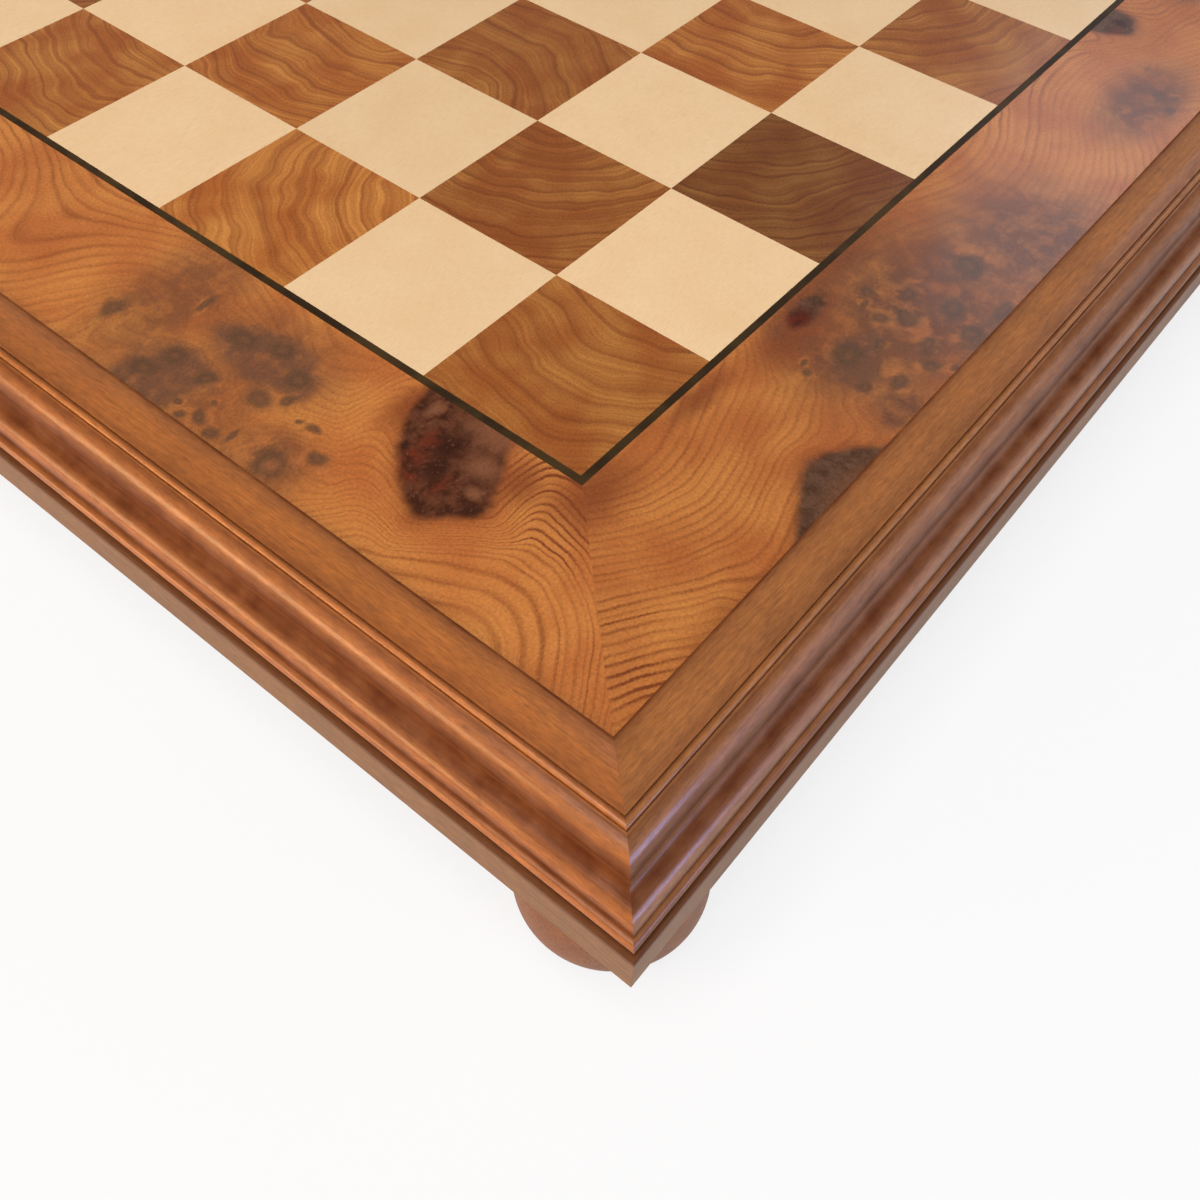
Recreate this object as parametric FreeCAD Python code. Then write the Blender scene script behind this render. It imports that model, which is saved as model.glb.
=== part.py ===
import FreeCAD, Part
import math
import os

# A table-top chess table: an inlaid panel in a mitred, moulded frame on four turned feet.
# Millimetres, +Z up. The origin is at the middle of the square, on the plane it stands on.
# The front is the side of the player whose left-hand corner square is dark.

# Playing field and inlay
squares_per_side = 8
square_side = 45.0
veneer_thickness = 0.6
stringing_width = 2.0
border_width = 42.0

# Panel that carries the veneers
core_thickness = 8.0
balance_thickness = 0.6

# Moulding on the rails: its members in order, from the inner edge outwards and down
inner_step = 1.0
inner_round = 0.4
cushion_width = 11.9
cushion_rise = 3.0
cushion_crown = 0.5
quirk_width = 0.3
quirk_depth = 0.8
fine_bead_width = 1.6
fine_bead_bulge = 1.1
ovolo_width = 4.6
ovolo_drop = 5.0
arris_fillet = 0.3
cove_width = 1.4
cove_drop = 2.3
lower_ovolo_width = 3.5
lower_ovolo_drop = 4.3
lower_bead_width = 1.6
lower_bead_drop = 1.9
lower_bead_bulge = 0.9
bead_fillet = 0.7
plinth_reveal = 1.1

# Rebated underside of the rails, and the plinth strips
ledge_width = 8.0
ledge_thickness = 4.8
plinth_height = 12.2
plinth_thickness = 10.0
plinth_round = 0.5

# Loose tongues across the mitres
spline_inset = 3.5
spline_reach = 9.0
spline_width = 12.0
spline_thickness = 2.4
spline_depth = 6.0

# Corner blocks and their countersunk screws
block_leg = 52.0
block_nose = 16.0
screw_end_distance = 12.0
screw_diameter = 3.0
screw_head_diameter = 6.0
screw_head_height = 1.8
screw_length = 16.0
screw_point = 2.5

# Turned feet with their pads
foot_height = 25.0
foot_diameter = 39.2
foot_setback = 0.1
foot_seat_diameter = 35.2
foot_collar = 0.8
foot_shoulder_drop = 11.7
foot_base_diameter = 26.0
pad_diameter = 22.0
pad_thickness = 2.0

# Hanger bolts and threaded inserts
bolt_diameter = 6.0
bolt_in_foot = 16.0
bolt_in_block = 7.5
bolt_point_diameter = 1.6
bolt_taper = 4.0
bolt_chamfer = 0.7
bolt_hole_spare = 0.6
insert_diameter = 9.0
insert_recess = 0.2

# Clearances
running_clearance = 0.05
glue_clearance = 0.1

# How far a cutting solid overruns the wood that it cuts
overrun = 5.0

# Place of the middle point of a quarter round, as a share of its sides
quarter_share = math.sin(math.pi / 4)

# Distances out from the middle
field_half = square_side * squares_per_side / 2
stringing_edge = field_half + stringing_width
panel_half = stringing_edge + border_width
frame_width = (
    cushion_width
    + quirk_width
    + fine_bead_width
    + quirk_width
    + ovolo_width
    + cove_width
    + lower_ovolo_width
    - quirk_width
    + lower_bead_width
    + plinth_reveal
)
overall_half = panel_half + frame_width
plinth_inner = overall_half - plinth_thickness
foot_centre = overall_half - foot_setback - foot_diameter / 2

# Heights
cushion_top = inner_step + cushion_rise
moulding_below_field = (
    ovolo_drop
    + arris_fillet
    + cove_drop
    + lower_ovolo_drop
    + quirk_width
    + lower_bead_drop
    + bead_fillet
    - cushion_top
)
frame_bottom = pad_thickness + foot_height
plinth_top = frame_bottom + plinth_height
field_level = plinth_top + moulding_below_field
core_top = field_level - veneer_thickness
core_bottom = core_top - core_thickness
ledge_top = core_bottom - balance_thickness
rail_bottom = ledge_top - ledge_thickness

# Quarter turns that carry one side or corner to the others
sides = ("right", "back", "left", "front")
corners = ("back_right", "back_left", "front_left", "front_right")
quarter_turn = 90


class Outline:
    """A closed outline in the XZ plane, drawn in steps out along X and up along Z."""

    def __init__(self, out, up):
        self.at = FreeCAD.Vector(out, 0, up)
        self.first = self.at
        self.edges = []

    def line_to(self, out, up):
        end = FreeCAD.Vector(out, 0, up)
        self.edges.append(Part.LineSegment(self.at, end).toShape())
        self.at = end

    def line(self, out, up):
        self.line_to(self.at.x + out, self.at.z + up)

    def arc(self, via_out, via_up, out, up):
        via = self.at + FreeCAD.Vector(via_out, 0, via_up)
        end = self.at + FreeCAD.Vector(out, 0, up)
        self.edges.append(Part.Arc(self.at, via, end).toShape())
        self.at = end

    def bulge(self, out, up, height):
        chord = math.hypot(out, up)
        self.arc(out / 2 - height * up / chord, up / 2 + height * out / chord, out, up)

    def level_to_plumb(self, out, up):
        self.arc(out * quarter_share, up * (1 - quarter_share), out, up)

    def plumb_to_level(self, out, up):
        self.arc(out * (1 - quarter_share), up * quarter_share, out, up)

    def to_belly(self, out, up):
        """An arc that is plumb at its end, where a turned piece is fullest."""
        radius = (out**2 + up**2) / (2 * abs(out))
        half = math.asin(abs(up) / radius) / 2
        via_out = out - math.copysign(radius * (1 - math.cos(half)), out)
        self.arc(via_out, up - math.copysign(radius * math.sin(half), up), out, up)

    def from_belly(self, out, up):
        """An arc that is plumb at its start and turns in below."""
        radius = (out**2 + up**2) / (2 * abs(out))
        half = math.asin(abs(up) / radius) / 2
        via_out = math.copysign(radius * (1 - math.cos(half)), out)
        self.arc(via_out, math.copysign(radius * math.sin(half), up), out, up)

    def face(self):
        self.line_to(self.first.x, self.first.z)
        return Part.Face(Part.Wire(self.edges))

    def turned(self):
        return self.face().revolve(FreeCAD.Vector(0, 0, 0), FreeCAD.Vector(0, 0, 1), 360)


def quarter_turned(shape, turns):
    copy = shape.copy()
    copy.rotate(FreeCAD.Vector(0, 0, 0), FreeCAD.Vector(0, 0, 1), turns * quarter_turn)
    return copy


def plan_prism(points, low, high):
    corners_3d = [FreeCAD.Vector(x, y, low) for x, y in points]
    wire = Part.makePolygon(corners_3d + corners_3d[:1])
    return Part.Face(wire).extrude(FreeCAD.Vector(0, 0, high - low))


def square_plate(half, low, high):
    return plan_prism([(-half, -half), (half, -half), (half, half), (-half, half)], low, high)


def flat_mitred_strip(inner, outer, low, high):
    return plan_prism([(inner, -inner), (outer, -outer), (outer, outer), (inner, inner)], low, high)


def moulded_mitred_strip(face):
    """Run a section along the right-hand side and cut both ends on the mitre."""
    run = overall_half + overrun
    stick = face.copy()
    stick.translate(FreeCAD.Vector(0, -run, 0))
    stick = stick.extrude(FreeCAD.Vector(0, 2 * run, 0))
    mitre_wedge = plan_prism([(0, 0), (run, -run), (run, run)], 0, field_level + run)
    return stick.common(mitre_wedge)


def export(node, shape):
    shape.exportStep("parts/" + node + ".step")


def export_round_the_table(stem, names, shape):
    for turns, name in enumerate(names):
        export(stem + "_" + name, quarter_turned(shape, turns))


def field_squares(dark):
    """The squares of one colour; the front left corner square is dark."""
    squares = []
    for file in range(squares_per_side):
        for rank in range(squares_per_side):
            if ((file + rank) % 2 == 0) == dark:
                square = Part.makeBox(square_side, square_side, veneer_thickness)
                x = file * square_side - field_half
                y = rank * square_side - field_half
                square.translate(FreeCAD.Vector(x, y, core_top))
                squares.append(square)
    return Part.makeCompound(squares)


def rail_section():
    """The moulded rail: a ledge for the panel inside, the moulding outside, a rebate below."""
    section = Outline(panel_half - ledge_width, rail_bottom)
    section.line_to(panel_half - ledge_width, ledge_top)
    section.line_to(panel_half, ledge_top)
    section.line_to(panel_half, field_level + inner_step - inner_round)
    section.plumb_to_level(inner_round, inner_round)
    section.bulge(cushion_width - inner_round, cushion_rise, cushion_crown)
    section.line(0, -quirk_depth)
    section.line(quirk_width, 0)
    section.bulge(fine_bead_width, 0, fine_bead_bulge)
    section.line(quirk_width, 0)
    section.line(0, quirk_depth)
    section.level_to_plumb(ovolo_width, -ovolo_drop)
    section.line(0, -arris_fillet)
    section.plumb_to_level(cove_width, -cove_drop)
    section.level_to_plumb(lower_ovolo_width, -lower_ovolo_drop)
    section.line(-quirk_width, 0)
    section.line(0, -quirk_width)
    section.bulge(lower_bead_width, -lower_bead_drop, lower_bead_bulge)
    section.line(-quirk_width, 0)
    section.line(0, -bead_fillet)
    section.line_to(plinth_inner, plinth_top)
    section.line_to(plinth_inner, rail_bottom)
    return section.face()


def plinth_section():
    """The plain strip under the moulding, with its two outer arrises eased."""
    section = Outline(plinth_inner, frame_bottom)
    section.line_to(plinth_inner, plinth_top)
    section.line_to(overall_half - plinth_round, plinth_top)
    section.level_to_plumb(plinth_round, -plinth_round)
    section.line_to(overall_half, frame_bottom + plinth_round)
    section.plumb_to_level(-plinth_round, -plinth_round)
    return section.face()


def spline_solid(clearance):
    """The loose tongue at the back right mitre, or the slot for it."""
    diagonal = math.sqrt(2)
    start = (panel_half + spline_inset) * diagonal - clearance
    length = spline_reach * diagonal + 2 * clearance
    width = spline_width + 2 * clearance
    thickness = spline_thickness + 2 * clearance
    low = field_level - spline_depth - thickness / 2
    solid = Part.makeBox(length, width, thickness, FreeCAD.Vector(start, -width / 2, low))
    solid.rotate(FreeCAD.Vector(0, 0, 0), FreeCAD.Vector(0, 0, 1), quarter_turn / 2)
    return solid


def screw_solid(clearance):
    """A countersunk screw driven up from the underside of a block, or the hole for it."""
    shape = Outline(0, frame_bottom)
    shape.line(screw_head_diameter / 2 + clearance, 0)
    shape.line((screw_diameter - screw_head_diameter) / 2, screw_head_height)
    shape.line_to(screw_diameter / 2 + clearance, frame_bottom + screw_length - screw_point)
    shape.line_to(0, frame_bottom + screw_length + clearance)
    return shape.turned()


def corner_screws(clearance):
    """The two screws of the back right block, one into each rail."""
    across = plinth_inner - block_nose / 2
    along = plinth_inner - block_leg + screw_end_distance
    screws = []
    for x, y in ((across, along), (along, across)):
        screw = screw_solid(clearance)
        screw.translate(FreeCAD.Vector(x, y, 0))
        screws.append(screw)
    return screws


def at_every_corner(solids):
    return [quarter_turned(solid, turns) for turns in range(len(corners)) for solid in solids]


def corner_block():
    """The block behind the back right plinth corner, bored for the insert and the screws."""
    tip = plinth_inner - block_leg
    nose = plinth_inner - block_nose
    plan = [(plinth_inner, plinth_inner), (tip, plinth_inner), (tip, nose), (nose, tip)]
    block = plan_prism(plan + [(plinth_inner, tip)], frame_bottom, rail_bottom)
    bore = Part.makeCylinder(insert_diameter / 2 + running_clearance, rail_bottom)
    bore.translate(FreeCAD.Vector(foot_centre, foot_centre, 0))
    return block.cut([bore] + corner_screws(running_clearance))


def threaded_insert():
    length = rail_bottom - frame_bottom - insert_recess
    body = Part.makeCylinder(insert_diameter / 2, length)
    body = body.cut(Part.makeCylinder(bolt_diameter / 2 + running_clearance, length))
    body.translate(FreeCAD.Vector(foot_centre, foot_centre, frame_bottom + insert_recess))
    return body


def bun_foot():
    """A flattened bun: a flat seat and thin collar, a soft shoulder, a full belly, a small base."""
    hole = bolt_diameter / 2 + running_clearance
    hole_bottom = frame_bottom - bolt_in_foot - bolt_hole_spare
    foot = Outline(hole, frame_bottom)
    foot.line_to(foot_seat_diameter / 2, frame_bottom)
    foot.line(0, -foot_collar)
    foot.to_belly((foot_diameter - foot_seat_diameter) / 2, -foot_shoulder_drop)
    foot.from_belly((foot_base_diameter - foot_diameter) / 2, pad_thickness - foot.at.z)
    foot.line_to(0, pad_thickness)
    foot.line_to(0, hole_bottom)
    foot.line_to(hole, hole_bottom)
    return foot.turned()


def hanger_bolt():
    """A stud with a tapered wood end in the foot and a chamfered end in the insert."""
    low = frame_bottom - bolt_in_foot
    high = frame_bottom + bolt_in_block
    bolt = Outline(0, low)
    bolt.line_to(bolt_point_diameter / 2, low)
    bolt.line_to(bolt_diameter / 2, low + bolt_taper)
    bolt.line_to(bolt_diameter / 2, high - bolt_chamfer)
    bolt.line_to(bolt_diameter / 2 - bolt_chamfer, high)
    bolt.line_to(0, high)
    return bolt.turned()


def felt_pad():
    return Part.makeCylinder(pad_diameter / 2, pad_thickness)


def build():
    os.makedirs("parts", exist_ok=True)
    export("core_panel", square_plate(panel_half, core_bottom, core_top))
    export("balance_veneer", square_plate(panel_half, ledge_top, core_bottom))
    export("dark_squares", field_squares(True))
    export("light_squares", field_squares(False))

    stringing = flat_mitred_strip(field_half, stringing_edge, core_top, field_level)
    export_round_the_table("stringing", sides, stringing)
    border = flat_mitred_strip(stringing_edge, panel_half, core_top, field_level)
    export_round_the_table("border_veneer", sides, border)

    slots = at_every_corner([spline_solid(glue_clearance)])
    pilots = at_every_corner(corner_screws(running_clearance))
    rail = moulded_mitred_strip(rail_section()).cut(slots + pilots)
    export_round_the_table("frame_rail", sides, rail)
    export_round_the_table("plinth_strip", sides, moulded_mitred_strip(plinth_section()))

    export_round_the_table("mitre_spline", corners, spline_solid(0))
    export_round_the_table("corner_block", corners, corner_block())
    export("corner_screws", Part.makeCompound(at_every_corner(corner_screws(0))))
    export("foot_inserts", Part.makeCompound(at_every_corner([threaded_insert()])))

    turned_pieces = (("bun_foot", bun_foot()), ("hanger_bolt", hanger_bolt()), ("felt_pad", felt_pad()))
    for stem, piece in turned_pieces:
        piece.translate(FreeCAD.Vector(foot_centre, foot_centre, 0))
        export_round_the_table(stem, corners, piece)


build()
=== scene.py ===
import functools
import math
import random

import bmesh
import bpy
from mathutils import Matrix, Vector


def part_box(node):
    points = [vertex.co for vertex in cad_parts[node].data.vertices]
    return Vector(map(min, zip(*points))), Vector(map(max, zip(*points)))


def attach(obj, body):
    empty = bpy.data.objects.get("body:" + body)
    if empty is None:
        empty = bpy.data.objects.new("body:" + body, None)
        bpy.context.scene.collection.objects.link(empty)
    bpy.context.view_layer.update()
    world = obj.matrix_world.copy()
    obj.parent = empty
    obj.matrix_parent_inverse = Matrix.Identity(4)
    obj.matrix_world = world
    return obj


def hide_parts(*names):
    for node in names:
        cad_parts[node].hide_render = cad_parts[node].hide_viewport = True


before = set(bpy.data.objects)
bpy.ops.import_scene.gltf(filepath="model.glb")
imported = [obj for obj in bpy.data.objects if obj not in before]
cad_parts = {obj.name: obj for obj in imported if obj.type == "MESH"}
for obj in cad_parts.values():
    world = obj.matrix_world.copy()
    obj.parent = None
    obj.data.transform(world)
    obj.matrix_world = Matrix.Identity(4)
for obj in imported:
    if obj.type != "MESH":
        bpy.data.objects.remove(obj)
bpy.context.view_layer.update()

# ----------------------------------------
# Core panel. A plain fibreboard that all the veneers are glued to; the rails hide its edges.
# It is pressed wood fibre, so it is an even tan with short fibres lying every way.


def linear(colour):
    """An sRGB hex colour as the linear values that a shader takes."""
    parts = [int(colour[i:i + 2], 16) / 255 for i in (1, 3, 5)]
    return [c / 12.92 if c <= 0.04045 else ((c + 0.055) / 1.055) ** 2.4 for c in parts] + [1.0]


def feed(tree, node, inputs):
    """Give a node's inputs their values, or link them to another node's output."""
    for key, value in inputs.items():
        if isinstance(value, bpy.types.NodeSocket):
            tree.links.new(value, node.inputs[key])
        else:
            node.inputs[key].default_value = value


def add(tree, kind, inputs=(), out=0, stops=(), **settings):
    """Add one node with its settings and links, and give back the output that is used."""
    node = tree.nodes.new("ShaderNode" + kind)
    for name, value in settings.items():
        setattr(node, name, value)
    for number, (place, shade) in enumerate(stops):
        elements = node.color_ramp.elements
        element = elements[number] if number < 2 else elements.new(place)
        element.position = place
        element.color = shade
    feed(tree, node, dict(enumerate(inputs)) if isinstance(inputs, (list, tuple)) else inputs)
    return node.outputs[out]


MIXED = {"out": 2, "data_type": "RGBA"}  # settings of a node that mixes colours
TO_MM = (1000, 1000, 1000)  # the frame is in metres


def start(name):
    """A new material's tree, with each point's place on the part in millimetres."""
    material = bpy.data.materials.new(name)
    material.use_nodes = True
    tree = material.node_tree
    place = add(tree, "TexCoord", out="Object")
    place = add(tree, "VectorMath", [place, TO_MM], operation="MULTIPLY")
    return material, tree, place


def surface(material, bump, depth, **sockets):
    """Set the material's shader; depth is how high its bump stands, in mm."""
    tree = material.node_tree
    shader = tree.nodes["Principled BSDF"]
    named = {name.replace("_", " "): value for name, value in sockets.items()}
    feed(tree, shader, named)
    relief = add(tree, "Bump", {"Strength": 1.0, "Distance": depth / 1000, "Height": bump})
    feed(tree, shader, {"Normal": relief})
    return material


def dress(node, material):
    """Give a node of the frame its material."""
    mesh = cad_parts[node].data
    mesh.materials.clear()
    mesh.materials.append(material)


# Fibreboard, sanded: matt, tan, with a felt of fibres about 0.3 mm thick.
fibreboard, t, place = start("fibreboard_sanded")
fibres = add(t, "TexNoise", {"Vector": place, "Scale": 1.6, "Detail": 4.0, "Roughness": 0.7})
clouds = add(t, "TexNoise", {"Vector": place, "Scale": 0.05, "Detail": 2.0})
tan = add(t, "Mix", {0: fibres, 6: linear("#8f6b46"), 7: linear("#b8946a")}, **MIXED)
tan = add(t, "Mix", {0: clouds, 6: tan, 7: linear("#9c7850")}, **MIXED)
surface(fibreboard, fibres, depth=0.05, Base_Color=tan, Roughness=0.9)
dress("core_panel", fibreboard)

# ----------------------------------------
# Balancing veneer. A plain straight-grained leaf on the underside that keeps the panel flat.
# Sliced mahogany, sealed thinly: matt red-brown with fine dashes where the pores are cut.

SOFT = {"interpolation_type": "SMOOTHSTEP"}  # settings of a range whose ends are eased


def straight_grain(tree, place, run, ring_width, seed=0.0):
    """Wood with its grain along one axis: (soft bands, fine fibres, dashes of pores)."""
    across = {"x": (0, 1, 1), "y": (1, 0, 1)}[run]
    shifted = add(tree, "VectorMath", [place, (seed, 3.1 * seed, 7.7 * seed)], operation="ADD")
    # How often each comes in a mm, along the grain and across it: bands, fibres and pores.
    layers = (
        (0.006, 1 / ring_width, {"Detail": 3.0, "Distortion": 0.3}),
        (0.05, 2.6, {"Detail": 3.0, "Roughness": 0.6}),
        (0.35, 4.2, {"Detail": 1.0}),
    )
    figures = []
    for along, aside, figure in layers:
        scale = tuple(aside if way else along for way in across)
        drawn_out = add(tree, "VectorMath", [shifted, scale], operation="MULTIPLY")
        figures.append(add(tree, "TexNoise", {"Vector": drawn_out, "Scale": 1.0, **figure}))
    bands, fibres, dashes = figures
    # A range takes a value, the two ends it comes from and the two it goes to.
    pores = add(tree, "MapRange", [dashes, 0.60, 0.72, 0.0, 1.0], **SOFT)
    return bands, fibres, pores


backing, t, place = start("mahogany_sliced_sealed")
bands, fibres, pores = straight_grain(t, place, "x", ring_width=6.0)
leaf = add(t, "Mix", {0: bands, 6: linear("#7c4a2b"), 7: linear("#a5683f")}, **MIXED)
for figure, most, colour in ((fibres, 0.35, "#6b3d22"), (pores, 0.55, "#3f2314")):
    figure = add(t, "Math", [figure, most], operation="MULTIPLY")
    leaf = add(t, "Mix", {0: figure, 6: leaf, 7: linear(colour)}, **MIXED)
surface(backing, fibres, depth=0.03, Base_Color=leaf, Roughness=0.62)
dress("balance_veneer", backing)

# ----------------------------------------
# Dark squares. 32 squares of sliced elm, each cut from another place in the leaf, so the bold
# curved grain turns from square to square. Laid in the field and lacquered with it.

SQUARE = 45.0  # mm, as in all the materials
SQUARES_PER_SIDE = 8
DARK_SQUARES = SQUARES_PER_SIDE ** 2 // 2
FIELD_TOP = 50.0
SPREAD = (0.3, 0.7)  # most of a noise lies between these
LACQUER = {"IOR": 1.5, "Coat_IOR": 1.5}  # how strongly a clear finish bends light


def square_number(tree, place):
    """Which square of the field a place is in, counted from the front left corner."""
    half = SQUARES_PER_SIDE / 2
    scale = (1 / SQUARE, 1 / SQUARE, 0)
    cell = add(tree, "VectorMath", [place, scale, (half, half, 0)], operation="MULTIPLY_ADD")
    return add(tree, "VectorMath", [cell], operation="FLOOR")


def growth_lines(tree, count, place, wide, strong, ragged):
    """Elm's growth rings where count passes a whole number: (dark line, soft shade before it)."""
    # Good years and lean years: the rings stand closer together in some places than in others.
    swing = 1.3
    years = add(tree, "TexNoise", {"W": count, "Scale": 0.3, "Detail": 1.0}, noise_dimensions="1D")
    count = add(tree, "Math", [years, swing, count], operation="MULTIPLY_ADD")
    fray = add(tree, "TexNoise", {"Vector": place, "Scale": 1.1, "Detail": 2.0})
    frayed = add(tree, "Math", [fray, ragged, count], operation="MULTIPLY_ADD")
    off = add(tree, "Math", [frayed, 0.5], operation="PINGPONG")
    number = add(tree, "Math", [frayed], operation="ROUND")
    vary = add(tree, "TexWhiteNoise", {"W": number}, noise_dimensions="1D")
    vary = add(tree, "MapRange", [vary, 0.0, 1.0, 0.2, 1.0])
    # The line is a row of pores about 0.2 mm across, so it is broken up like one.
    pores = add(tree, "TexNoise", {"Vector": place, "Scale": 1.9, "Detail": 2.0, "Roughness": 0.7})
    pores = add(tree, "MapRange", [pores, 0.3, 0.6, 0.35, 1.0])
    worn = add(tree, "TexNoise", {"Vector": place, "Scale": 0.07, "Detail": 1.0})
    worn = add(tree, "MapRange", [worn, 0.35, 0.65, 0.5, 1.1])
    line = add(tree, "MapRange", [off, 0.0, wide, 1.0, 0.0], **SOFT)
    for weaker in (pores, worn, vary):
        line = add(tree, "Math", [line, weaker], operation="MULTIPLY")
    line = add(tree, "Math", [line, strong], operation="MULTIPLY", use_clamp=True)
    shade = add(tree, "Math", [count], operation="FRACT")
    shade = add(tree, "MapRange", [shade, 0.25, 1.0, 0.0, 1.0], **SOFT)
    return line, shade


def wobble(tree, place, size, reach, seed):
    """The place shifted about by soft noise of that size and reach in mm."""
    moved = add(tree, "VectorMath", [place, (seed, seed, seed)], operation="ADD")
    noise = add(tree, "TexNoise", {"Vector": moved, "Scale": 1 / size, "Detail": 2.0}, out="Color")
    noise = add(tree, "VectorMath", [noise, (0.5, 0.5, 0.5)], operation="SUBTRACT")
    span = (2 * reach, 2 * reach, 2 * reach)
    return add(tree, "VectorMath", [noise, span, place], operation="MULTIPLY_ADD")


# Elm, sliced and lacquered: orange brown with soft broad arcs, clear and smooth to the touch.
elm, t, place = start("elm_sliced_satin_lacquer")
cell = square_number(t, place)
# Each square was cut from its own place: which way the heart of the tree lay, how dark, how wide
# its rings. Dark squares are numbered along the rows from the front left corner; the nearest
# four are set one by one.
draw = random.Random(11)
cuts = [(draw.random(), draw.uniform(0.3, 0.9), draw.random(), 1.0) for _ in range(DARK_SQUARES)]
# These four tones are partly the wood's own and partly painted shadow and painted sheen.
cuts[0], cuts[1] = (0.0, 0.68, 0.7, 1), (0.14, 0.12, 0.1, 1)
cuts[4], cuts[8] = (0.1, 0.52, 0.4, 1), (0.88, 1, 0.9, 1)
dark_steps = (1 / 2, SQUARES_PER_SIDE / 2, 0)
number = add(t, "VectorMath", [cell, dark_steps], out="Value", operation="DOT_PRODUCT")
number = add(t, "Math", [number], operation="FLOOR")
# Half a step more, so that a number falls between two stops of the ramp.
number = add(t, "Math", [number, 1 / DARK_SQUARES, 0.5 / DARK_SQUARES], operation="MULTIPLY_ADD")
stops = [(i / DARK_SQUARES, colour) for i, colour in enumerate(cuts)]
cut = add(t, "ValToRGB", [number], stops=stops)
cut.node.color_ramp.interpolation = "CONSTANT"
heart, tone, pace = (add(t, "SeparateColor", [cut], out=part) for part in range(3))
heart = add(t, "Math", [heart, 2 * math.pi], operation="MULTIPLY")
east = add(t, "Math", [heart], operation="COSINE")
north = add(t, "Math", [heart], operation="SINE")
middle = add(t, "CombineXYZ", [east, north, 0.0])
pith_reach = 48.0
middle = add(t, "VectorMath", [middle, (pith_reach, pith_reach, 0)], operation="MULTIPLY")
local = add(t, "VectorMath", [cell, (-SQUARE, -SQUARE, 0), place], operation="MULTIPLY_ADD")
first = SQUARE * (SQUARES_PER_SIDE - 1) / 2
local = add(t, "VectorMath", [local, (first, first, -FIELD_TOP)], operation="ADD")
leaf_size = (400, 400, 400)
shifted = add(t, "VectorMath", [cut, leaf_size, place], operation="MULTIPLY_ADD")
drift = wobble(t, shifted, size=26.0, reach=8.0, seed=5.0)
drift = add(t, "VectorMath", [drift, shifted], operation="SUBTRACT")
drift = add(t, "VectorMath", [drift, local], operation="ADD")
from_pith = add(t, "VectorMath", [drift, middle], out="Value", operation="DISTANCE")
narrow_ring, wide_ring = 4.0, 8.5
pace = add(t, "MapRange", [pace, 0.0, 1.0, 1 / narrow_ring, 1 / wide_ring])
count = add(t, "Math", [from_pith, pace], operation="MULTIPLY")
line, shade = growth_lines(t, count, place, wide=0.2, strong=0.5, ragged=0.12)
threads = add(t, "CombineXYZ", [add(t, "Math", [from_pith, 1.1], operation="MULTIPLY"), heart, 0.0])
streak = add(t, "TexNoise", {"Vector": threads, "Scale": 1.0, "Detail": 4.0, "Roughness": 0.65})
mottle = add(t, "TexNoise", {"Vector": shifted, "Scale": 0.06, "Detail": 3.0})
mottle = add(t, "MapRange", [mottle, 0.32, 0.68, 0.0, 1.0], **SOFT)
wood = add(t, "Mix", {0: mottle, 6: linear("#ac6328"), 7: linear("#c98841")}, **MIXED)
shade = add(t, "Math", [shade, 0.38], operation="MULTIPLY")
streak = add(t, "MapRange", [streak, 0.36, 0.68, 0.0, 0.7])
for figure, colour in ((shade, "#934f1e"), (streak, "#864216"), (line, "#672a0a")):
    wood = add(t, "Mix", {0: figure, 6: wood, 7: linear(colour)}, **MIXED)
tone = add(t, "MapRange", [tone, 0.0, 1.0, 0.42, 1.12])
grit = add(t, "TexNoise", {"Vector": place, "Scale": 1.8, "Detail": 2.0, "Roughness": 0.7})
grit = add(t, "MapRange", [grit, *SPREAD, 0.82, 1.18])
for lightness in (tone, grit):
    wood = add(t, "VectorMath", {0: wood, 3: lightness}, operation="SCALE")
sheen_spots = add(t, "TexNoise", {"Vector": place, "Scale": 0.9, "Detail": 2.0})
gloss = add(t, "MapRange", [sheen_spots, *SPREAD, 0.25, 0.34])
surface(
    elm, line, depth=-0.02, Base_Color=wood, Roughness=gloss, Coat_Weight=0.15,
    Coat_Roughness=0.12, **LACQUER,
)
dress("dark_squares", elm)

# ----------------------------------------
# Light squares. 32 squares of sliced maple, a close even wood: cream with a little pink and
# fine flecks a shade darker. Laid between the dark ones; the lacquer warms it.

maple, t, place = start("maple_sliced_satin_lacquer")
cell = square_number(t, place)
chance = add(t, "TexWhiteNoise", {"Vector": cell}, out="Color", noise_dimensions="3D")
leaf_size = (300, 300, 300)
shifted = add(t, "VectorMath", [chance, leaf_size, place], operation="MULTIPLY_ADD")
clouds = add(t, "TexNoise", {"Vector": shifted, "Scale": 0.06, "Detail": 3.0})
# The flecks are rays cut through: 0.3 mm wide and 2 mm long.
flecks = add(t, "VectorMath", [shifted, (0.5, 3.0, 1.0)], operation="MULTIPLY")
flecks = add(t, "TexNoise", {"Vector": flecks, "Scale": 1.0, "Detail": 3.0, "Roughness": 0.6})
flecks = add(t, "MapRange", [flecks, 0.45, 0.7, 0.0, 1.0])
cream = add(t, "Mix", {0: clouds, 6: linear("#edc999"), 7: linear("#f8dcb2")}, **MIXED)
silver = add(t, "Math", [flecks, 0.35], operation="MULTIPLY")
cream = add(t, "Mix", {0: silver, 6: cream, 7: linear("#d8b086")}, **MIXED)
tone = add(t, "SeparateColor", [chance], out=1)
tone = add(t, "MapRange", [tone, 0.0, 1.0, 0.93, 1.0])
cream = add(t, "VectorMath", {0: cream, 3: tone}, operation="SCALE")
surface(
    maple, flecks, depth=-0.01, Base_Color=cream, Roughness=0.3, Coat_Weight=0.2,
    Coat_Roughness=0.12, **LACQUER,
)
dress("light_squares", maple)

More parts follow.
